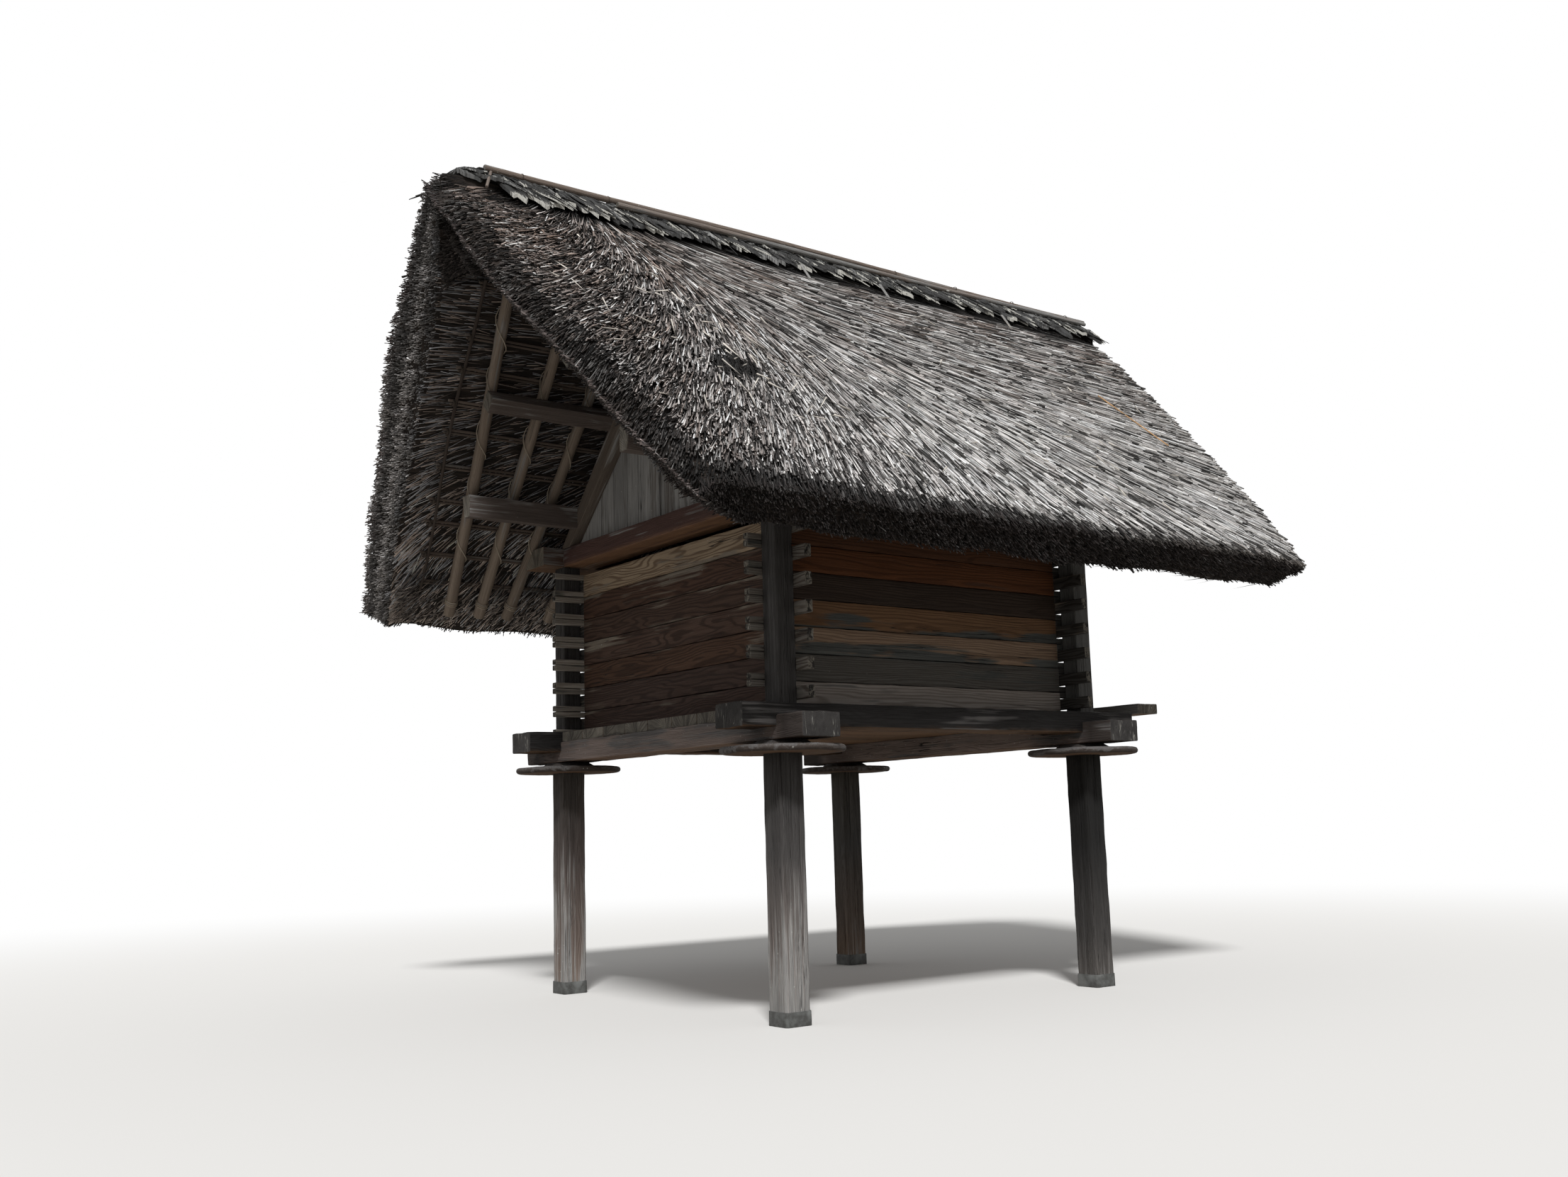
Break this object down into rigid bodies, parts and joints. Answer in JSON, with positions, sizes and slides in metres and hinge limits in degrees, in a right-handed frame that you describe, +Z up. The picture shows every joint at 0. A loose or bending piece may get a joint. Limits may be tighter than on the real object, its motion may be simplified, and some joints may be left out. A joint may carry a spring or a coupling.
{
  "type": "raised granary",
  "caption": "Raised timber granary with posts, round rat guards, interlocked plank walls and a deep thatched gable roof.",
  "frame": {"origin": "on the ground under the middle of the roof, which is the bottom centre of the overall box", "axes": "+X along the ridge towards the entrance gable with the landing, +Y across the ridge, +Z up"},
  "size_m": [7.3824, 5.6424, 6.4907],
  "materials": {
    "post_wood": "weathered, unpainted wood",
    "foot_metal": "dull, weathered grey-green",
    "guard_wood": "weathered, unpainted wood",
    "beam_wood": "weathered, unpainted wood",
    "board_wood": "weathered, unpainted wood",
    "plank_wood": "weathered, unpainted wood",
    "plate_wood": "weathered, unpainted wood",
    "grey_boards": "weathered, unpainted wood",
    "roof_timber": "weathered, unpainted wood",
    "pole_wood": "weathered, unpainted wood",
    "cane": "weathered, unpainted wood",
    "thatch": "dry reed, weathered",
    "bark": "rough, weathered bark",
    "ridge_pole_wood": "weathered, unpainted wood"
  },
  "bodies": {
    "root": {"post_front_left": "post_wood", "post_front_right": "post_wood", "post_back_left": "post_wood", "post_back_right": "post_wood", "foot_bands": "foot_metal", "rat_guard_front_left": "guard_wood", "rat_guard_front_right": "guard_wood", "rat_guard_back_left": "guard_wood", "rat_guard_back_right": "guard_wood", "floor_beam_left": "beam_wood", "floor_beam_right": "beam_wood", "floor_beam_front": "beam_wood", "floor_beam_back": "beam_wood", "floor_boards": "board_wood", "landing_plank": "board_wood", "front_wall": "plank_wood", "back_wall": "plank_wood", "left_gable_wall": "plank_wood", "right_gable_wall": "plank_wood", "eave_plate_front": "plate_wood", "eave_plate_back": "plate_wood", "gable_plate_left": "plate_wood", "gable_plate_right": "plate_wood", "gable_rafters_left": "roof_timber", "gable_rafters_right": "roof_timber", "gable_boards_left": "grey_boards", "gable_boards_right": "grey_boards", "lower_purlin_front": "roof_timber", "lower_purlin_back": "roof_timber", "upper_purlin_front": "roof_timber", "upper_purlin_back": "roof_timber", "ridge_beam": "pole_wood", "pole_rafters_front": "pole_wood", "pole_rafters_back": "pole_wood", "battens_front": "cane", "battens_back": "cane", "verge_canes": "cane", "thatch_front": "thatch", "thatch_back": "thatch", "ridge_bark": "bark", "ridge_poles": "ridge_pole_wood"}
  },
  "joints": []
}
